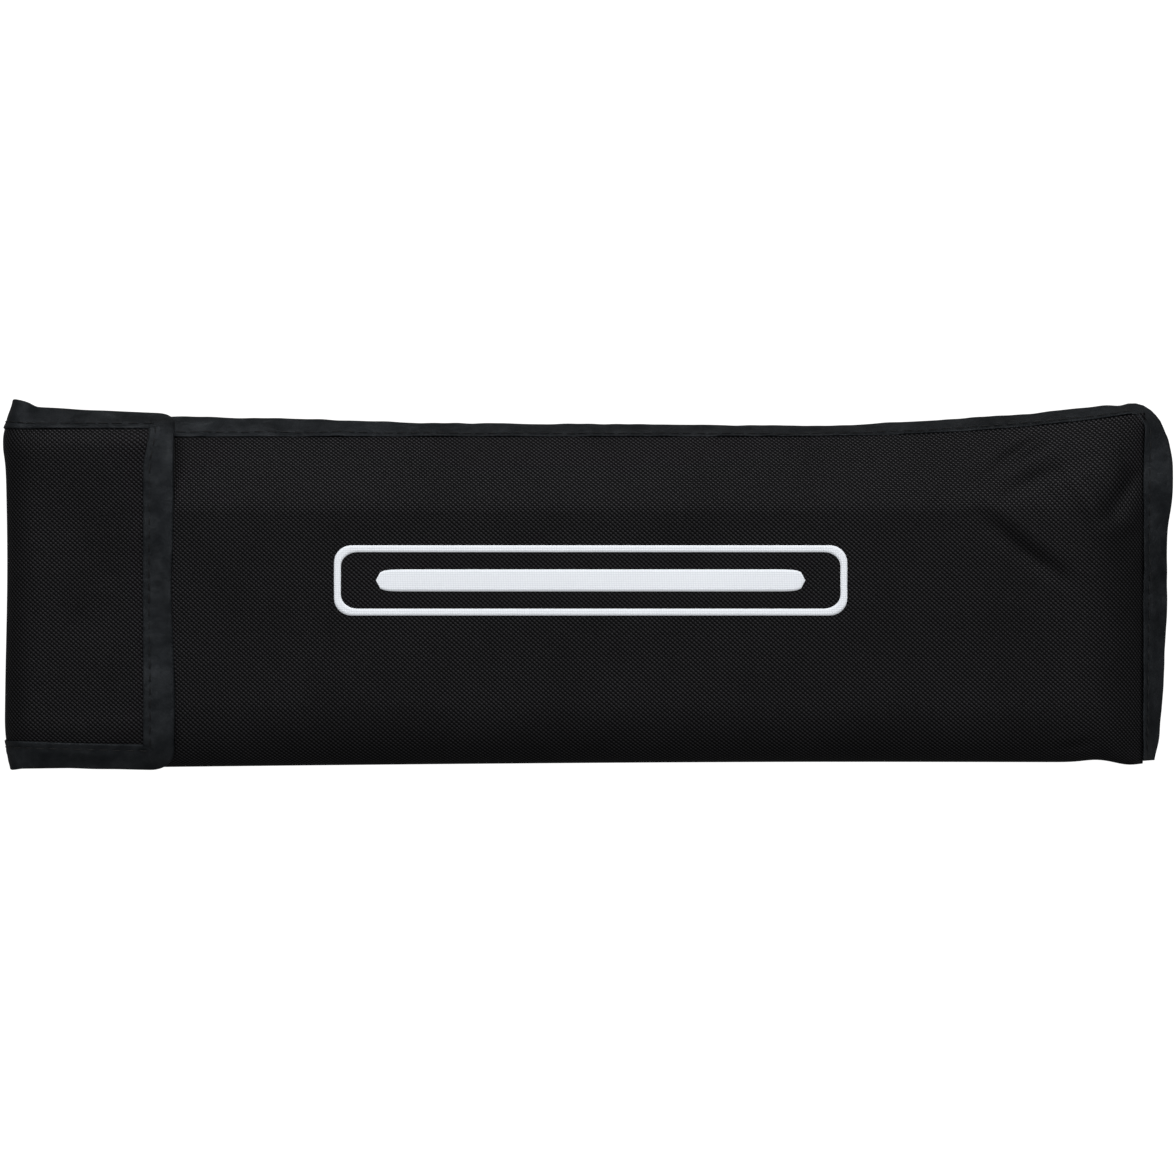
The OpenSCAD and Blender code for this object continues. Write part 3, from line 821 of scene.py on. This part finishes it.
def flap_corner(q, radius):
    """How far the flap's long edges come in at its round end corners."""
    past = np.clip(q - (FLAP_END - radius), 0, radius)
    return radius - np.sqrt(np.maximum(radius**2 - past**2, 0))


FLAP_PARTS = {
    # name: (first and last distance, bodies and the two points that the cloth bends between)
    "lower": ((0.0, FLAP_MID), ("pouch", "flap_end", (-0.2165, 0, 0.0), (-0.2238, 0, 0.0085))),
    "upper": ((FLAP_MID, FLAP_END), ("flap_end", "flap_front", (-0.2236, 0, 0.0150), (-0.2085, 0, 0.0275))),
}


def make_flap_cloth(part, nodes):
    """One length of the flap's cloth: a grid over distance along and across, to 1.3 mm inside its edge."""
    (first, last), bodies = FLAP_PARTS[part]
    rows, columns = (60, 110) if part == "lower" else (150, 150)
    end = last - (1.3 if part == "upper" else 0)
    q = np.linspace(first, end, rows)[:, None]
    up, low = flap_halves(q)
    come = flap_corner(q + 1.3, 9.0) + 1.3
    v = np.linspace(0, 1, columns)[None]
    w = -(low - come) + v * (up + low - 2 * come)
    points = flap_point(q, w)
    piece = make_piece("flap_cloth_" + part, points, grid_faces(rows, columns),
                       np.stack(np.broadcast_arrays(q, w), -1))
    thicken(piece, CLOTH)
    dress(piece, "pouch_cloth", blend=bodies, nodes=nodes)


def flap_outline(part):
    """Outer edge of the flap's tape in cloth distances (q, w), and where each point's inner edge lies."""
    (first, last), _ = FLAP_PARTS[part]
    if part == "lower":
        q = np.linspace(12.0, last, 40)
        up, low = flap_halves(q)
        return [np.stack([q, up], 1), np.stack([q[::-1], -low[::-1]], 1)]
    radius = 9.0
    q = np.linspace(first, last - radius, 120)
    up, low = flap_halves(q)
    turn = np.linspace(0, np.pi / 2, 14)[1:]
    top = np.stack([last - radius + radius * np.sin(turn), up[-1] - radius + radius * np.cos(turn)], 1)
    bottom = np.stack([top[::-1, 0], -(low[-1] - radius) - radius * np.cos(turn[::-1])], 1)
    side = np.linspace(up[-1] - radius, -(low[-1] - radius), 110)[1:-1]
    edge = np.stack([np.full(len(side), last), side], 1)
    whole = np.vstack([np.stack([q, up], 1), top, edge, bottom, np.stack([q[::-1], -low[::-1]], 1)])
    return [whole]


def tape_inner(outline, part):
    """Inner edge of the tape opposite each outline point, which is moved into a rectangle TAPE_W smaller."""
    up, low = flap_halves(outline[:, 0])
    q = np.minimum(outline[:, 0], FLAP_END - TAPE_W if part == "upper" else FLAP_END)
    return np.stack([q, np.clip(outline[:, 1], -(low - TAPE_W), up - TAPE_W)], 1)


def make_flap_tape(part, nodes):
    """Tape folded over the flap's edge. Each section runs from the inner edge on top, round the fold and
    back below; its places are on the flap's surface, moved along its normal."""
    bodies = FLAP_PARTS[part][1]
    half = CLOTH / 2 + TAPE + 0.1
    profile = tape_profile(half, top=14)
    for number, outline in enumerate(flap_outline(part)):
        run, outline = even_path(outline, 1.2)
        inner = tape_inner(outline, part)
        share = (profile[:, 0] / TAPE_W)[None, :, None]
        flat = outline[:, None] * (1 - share) + inner[:, None] * share
        inset, at = profile[:, 0][None], run[:, None]
        side = np.where(profile[:, 1] > 0, 1, -1)[None]
        lift = profile[:, 1][None] + 0.7 * tape_ripple(at, inset, 41 + number)
        lift = lift - side * stitch_dip(at, inset)
        q, w = flat[..., 0], flat[..., 1]
        points = flap_point(q, w) + flap_normal(q, w) * lift[..., None]
        points[..., 0] = np.maximum(points[..., 0], FLAP_FAR)
        rows, columns = points.shape[:2]
        uv = np.stack([at + 0 * inset, inset + 0 * at], -1)
        name = f"flap_tape_{part}" + ("" if part == "upper" else f"_{number + 1}")
        piece = make_piece(name, points, grid_faces(rows, columns, close_columns=True), uv)
        cap_ends(piece, rows, columns)
        dress(piece, "binding_tape", blend=bodies, nodes=nodes if number == 0 else ())
        make_flap_stitches(part, number, outline, inner, half, bodies)


def make_flap_stitches(part, number, outline, inner, half, bodies):
    """The seam that holds the flap's tape, on both faces, STITCH_IN from the tape's inner edge."""
    share = 1 - STITCH_IN / TAPE_W
    line = outline * (1 - share) + inner * share
    run, line = even_path(line, 0.5)
    places = np.arange(STITCH / 2, run[-1] - 1, STITCH)
    flat = pick(places, run, line)
    q, w = flat[:, 0], flat[:, 1]
    centre, normal = flap_point(q, w), flap_normal(q, w)
    ahead = pick(places + 0.4, run, line)
    along = unit(flap_point(ahead[:, 0], ahead[:, 1]) - centre)
    lift = half + 0.02
    centres = np.vstack([centre + normal * lift, centre - normal * lift])
    make_stitches(f"flap_stitches_{part}_{number + 1}", centres, np.vstack([along, along]),
                  np.vstack([normal, -normal]), blend=bodies)


# ---- hook and loop, and the mouth's tape ----


def patch(x_range, y_range, rows, columns):
    """Grid over a rectangle."""
    u, v = np.meshgrid(np.linspace(-1, 1, rows), np.linspace(-1, 1, columns), indexing="ij")
    x = np.mean(x_range) + np.ptp(x_range) / 2 * u
    y = np.mean(y_range) + np.ptp(y_range) / 2 * v
    return x, y


def make_grip_tapes():
    """Loop tape on the pouch's front and hook tape under the flap, each sewn on round its edge."""
    low, high = box_mm("loop_tape")
    x, y = patch((low[0], high[0]), (low[1], high[1]), 40, 100)
    points = front_point(x, y, 0.45)
    loop = make_piece("loop_tape_cloth", points, grid_faces(*x.shape), np.stack([x, y], -1))
    thicken(loop, 0.8)
    dress(loop, "loop_tape", "pouch", nodes=("loop_tape",))
    low, high = box_mm("hook_tape")
    q = np.interp(x, FLAP_LINE[60:, 0], FLAP_RUN[60:])
    points = flap_point(q, y, -0.75)
    hook = make_piece("hook_tape_cloth", points, grid_faces(*x.shape), np.stack([x, y], -1))
    thicken(hook, 0.7)
    dress(hook, "hook_tape", "flap_front", nodes=("hook_tape",))
    for name, lift, body in (("loop_stitches", 0.85, "pouch"), ("hook_stitches", -1.15, "flap_front")):
        loop_line = fine_loop(rounded_box(np.ptp(x) / 2 - 1.6, np.ptp(y) / 2 - 1.6, 1.0), 0.5)
        loop_line = np.vstack([loop_line, loop_line[:1]]) + (np.mean(x), np.mean(y))
        run, line = even_path(loop_line, 0.5)
        places = np.arange(2, run[-1] - 2, STITCH)
        at, ahead = pick(places, run, line), pick(places + 0.4, run, line)
        if body == "pouch":
            centres = front_point(at[:, 0], at[:, 1], lift)
            front = front_point(ahead[:, 0], ahead[:, 1], lift)
            up = np.tile([0, 0, 1.0], (len(at), 1))
        else:
            q, q2 = (np.interp(p[:, 0], FLAP_LINE[60:, 0], FLAP_RUN[60:]) for p in (at, ahead))
            centres, front = flap_point(q, at[:, 1], lift), flap_point(q2, ahead[:, 1], lift)
            up = -flap_normal(q, at[:, 1])
        make_stitches(name, centres, unit(front - centres), up, body=body)


def make_mouth_binding():
    """Tape folded over the front's edge at the mouth, its section swept along that edge."""
    on_front = pouch_section()[0] <= 2
    edge = pouch_surface(2)[0][on_front]
    run, edge = even_path(edge[6:-6], 1.3)
    profile = tape_profile(CLOTH / 2 + TAPE + 0.1, top=12)
    ahead = unit(np.gradient(edge, axis=0))
    out = unit(np.cross(np.array([1.0, 0, 0]), ahead))
    out = out * np.where(out[:, 2:] < 0, -1, 1)
    shape = edge[:, None] + out[:, None] * profile[None, :, 1:]
    x = MOUTH_X - 0.6 + profile[:, 0][None] + 0 * run[:, None]
    rise = crown(x) - crown(MOUTH_X)
    level = np.clip((shape[..., 2] - SEAM_Z) / (crown(MOUTH_X) - SEAM_Z), 0, 1)
    shape = np.stack([x, shape[..., 1], shape[..., 2] + rise * level], -1)
    rows, columns = shape.shape[:2]
    uv = np.stack([run[:, None] + 0 * x, x], -1)
    piece = make_piece("mouth_tape", shape, grid_faces(rows, columns, close_columns=True), uv)
    cap_ends(piece, rows, columns)
    dress(piece, "binding_tape", "pouch", nodes=("mouth_binding",))


# ---- what is in the pouch ----


def make_straps():
    """Two closed webbing bands round the rods: a rounded square ring swept along X, a little bowed."""
    low, high = box_mm("rod_straps")
    middle = (np.array(low) + high)[1:] / 2
    half = (high[1] - low[1]) / 2 - 0.55
    corner = 2.6
    loop = fine_loop(rounded_box(half, half, corner), 0.4)
    run, loop = even_path(np.vstack([loop, loop[:1]]), 0.4)
    for k, start in enumerate((low[0], high[0] - 20)):
        x, at = np.meshgrid(start + np.linspace(0.3, 19.7, 24), run, indexing="ij")
        ring = np.stack([np.interp(at, run, loop[:, j]) for j in (0, 1)], -1)
        bow = 1 + 0.012 * np.cos((x - start - 10) / 10 * np.pi / 2)
        points = np.stack([x, middle[0] + ring[..., 0] * bow, middle[1] + ring[..., 1] * bow], -1)[:, :-1]
        uv = np.stack([at, x - start], -1)[:, :-1]
        band = make_piece(f"rod_strap_{k + 1}", points, grid_faces(*points.shape[:2], close_columns=True), uv)
        thicken(band, 0.8)
        dress(band, "strap_webbing", "softbox", nodes=("rod_straps",) if k == 0 else None)


def fold_path(y_low, y_high, z_low, z_high, layers, seed):
    """Side view of cloth folded to and fro: straight layers joined by half circles of half the pitch."""
    pitch = (z_high - z_low) / (layers - 1)
    draw = np.random.default_rng(seed)
    points = []
    for k in range(layers):
        z = z_low + k * pitch
        inset = draw.uniform(0, 2.5, 2)
        y = np.linspace(y_low + inset[0], y_high - inset[1], 16)
        y = y if k % 2 == 0 else y[::-1]
        points += [(a, z) for a in y]
        if k < layers - 1:
            side = 1 if k % 2 == 0 else -1
            turn = np.linspace(-np.pi / 2, np.pi / 2, 7)[1:-1]
            middle = (y[-1], z + pitch / 2)
            points += [(middle[0] + side * pitch / 2 * np.cos(a), middle[1] + pitch / 2 * np.sin(a))
                       for a in turn]
    return np.array(points)


def make_pack(node, name, layers, thickness, material, seed):
    """A folded sheet in place of a pack: its folded side view swept along X, with slow waves."""
    low, high = box_mm(node)
    path = fold_path(low[1] + 1, high[1] - 1, low[2] + thickness / 2 + 0.05, high[2] - thickness / 2 - 0.05,
                     layers, seed)
    run = np.concatenate([[0], np.cumsum(np.linalg.norm(np.diff(path, axis=0), axis=1))])
    x = np.linspace(low[0] + 0.6, high[0] - 0.6, 70)[:, None]
    y = path[None, :, 0] + 0.5 * soft_noise(x, run[None] * 0.2, 60, seed)
    x2 = x + 0.5 * soft_noise(x * 0, run[None] * 0.4, 40, seed + 1)
    z = path[None, :, 1] + 0 * x
    points = np.stack([x2, y, z], -1)
    piece = make_piece(name, points, grid_faces(*points.shape[:2]),
                       np.stack([x + 0 * run[None], run[None] + 0 * x], -1))
    thicken(piece, thickness)
    dress(piece, material, "softbox", nodes=(node,))
    size = (round((high[0] - low[0] - 1.2) * MM, 4), round(run[-1] * MM, 3))
    return size


def make_grid_pack():
    """The fabric grid pushed flat: strips that lie one on the next like shingles."""
    low, high = box_mm("grid_pack")
    strips, width, thickness = 15, 45.0, 0.32
    step = (high[1] - low[1] - width - 1) / (strips - 1)
    lean = (high[2] - low[2] - thickness - 0.3) / (strips - 1)
    for k in range(strips):
        along, across = np.linspace(low[0] + 0.5, high[0] - 0.5, 60), np.linspace(0, 1, 12)
        x, v = np.meshgrid(along, across, indexing="ij")
        y = low[1] + 0.5 + k * step + width * v
        z = low[2] + 0.3 + k * lean + 0.06 * np.sin(v * np.pi) * soft_noise(x, v * 40, 50, 60 + k)
        points, uv = np.stack([x, y, z], -1), np.stack([x, v * width], -1)
        piece = make_piece(f"grid_strip_{k + 1}", points, grid_faces(*x.shape), uv)
        thicken(piece, thickness * 0.8)
        dress(piece, "grid_cloth", "softbox", nodes=("grid_pack",) if k == 0 else None)


def soft_cloth(name, dark, light, pitch, depth=0.00008, specular=0.15, roughness=0.75):
    """A finely woven cloth with cloudy wear. The weave's light takes the place of the light colour given, so
    the crowns are paler than that colour."""
    nodes = Nodes(name)
    height, light = weave(nodes, (pitch, pitch))
    cloud = nodes.noise(nodes.place(), 60, 4)
    # the crowns take the weave's painted light, lit more on one yarn, with painted shade in the gaps
    colour = nodes.mix(nodes.maths("MULTIPLY", height, nodes.mix(cloud, 0.6, 1.0)), dark, light)
    return nodes.finish(colour, roughness, height, depth, specular)


def fuzzy_cloth(name, dark, light, scale, depth):
    """Hook or loop pile: fine dense noise, with its bump."""
    nodes = Nodes(name)
    pile = nodes.noise(nodes.place(), scale, 4, 0.7)
    return nodes.finish(nodes.mix(pile, dark, light), 0.8, pile, depth, 0.15)


def metal(name, colour, roughness, spread, scale=90):
    """Metal whose roughness wanders a little, with a faint cast or brushed bump."""
    nodes = Nodes(name)
    grain = nodes.noise(nodes.place(), scale, 5)
    rough = nodes.mix(grain, roughness - spread, roughness + spread)
    return nodes.finish(colour, rough, grain, 0.00002, 0.5, metallic=1.0)


def moulded(name, colour, roughness):
    """Black moulded plastic with a fine grain."""
    nodes = Nodes(name)
    grain = nodes.noise(nodes.place(), 1400, 3)
    tone = nodes.mix(nodes.noise(nodes.place(), 40, 3), colour, tuple(1.5 * c for c in colour))
    return nodes.finish(tone, roughness, grain, 0.00002, 0.4)


MATERIALS = {
    "pouch_cloth": pouch_cloth_material(),
    "binding_tape": tape_material(),
    "thread": thread_material(),
    "white_print": print_material(),
    "loop_tape": fuzzy_cloth("loop_tape", (0.004, 0.004, 0.0045), (0.022, 0.022, 0.024), 1600, 0.0004),
    "hook_tape": fuzzy_cloth("hook_tape", (0.006, 0.006, 0.0065), (0.028, 0.028, 0.030), 2600, 0.0003),
    "shell_cloth": soft_cloth("shell_cloth", (0.004, 0.004, 0.0045), (0.018, 0.018, 0.019), 0.5),
    "white_cloth": soft_cloth("white_cloth", (0.55, 0.55, 0.53), (0.82, 0.82, 0.80), 0.35),
    "grid_cloth": soft_cloth("grid_cloth", (0.006, 0.006, 0.006), (0.024, 0.024, 0.025), 0.6),
    "strap_webbing": soft_cloth("strap_webbing", (0.005, 0.005, 0.0055), (0.03, 0.03, 0.032), 1.1, 0.0002),
    "cast_metal": metal("cast_metal", (0.34, 0.34, 0.35), 0.42, 0.08, 700),
    "insert_metal": metal("insert_metal", (0.52, 0.52, 0.53), 0.32, 0.06),
    "screw_steel": metal("screw_steel", (0.45, 0.45, 0.46), 0.28, 0.05),
    "rod_steel": metal("rod_steel", (0.48, 0.48, 0.50), 0.30, 0.07),
    "black_plastic": moulded("black_plastic", (0.012, 0.012, 0.0125), 0.45),
}

FINISHES = {
    "speed_ring": "cast_metal", "retaining_ring": "cast_metal", "ring_screws": "screw_steel",
    "mount_insert": "insert_metal", "lock_knob": "black_plastic", "lock_stud": "screw_steel",
    "rod_1": "rod_steel", "rod_2": "rod_steel", "rod_3": "rod_steel", "rod_4": "rod_steel",
    "rod_caps": "black_plastic",
}


def finish_frame_nodes():
    """Gives the metal and moulded nodes that stay in view their own finishes."""
    for node, material in FINISHES.items():
        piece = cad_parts[node]
        piece.data.materials.clear()
        piece.data.materials.append(MATERIALS[material])


make_camera()
make_studio()
make_pouch()
make_seam_binding()
make_print()
make_flap_cloth("lower", ("flap_end_panel",))
make_flap_cloth("upper", ("flap_front_panel",))
make_flap_tape("lower", ("flap_end_binding",))
make_flap_tape("upper", ("flap_binding",))
make_grip_tapes()
make_mouth_binding()
make_pack("shell_pack", "shell_folds", 12, 0.55, "shell_cloth", 5)
make_pack("inner_baffle_pack", "inner_baffle_folds", 7, 0.2, "white_cloth", 6)
make_pack("front_diffuser_pack", "front_diffuser_folds", 8, 0.28, "white_cloth", 7)
make_grid_pack()
make_straps()
finish_frame_nodes()
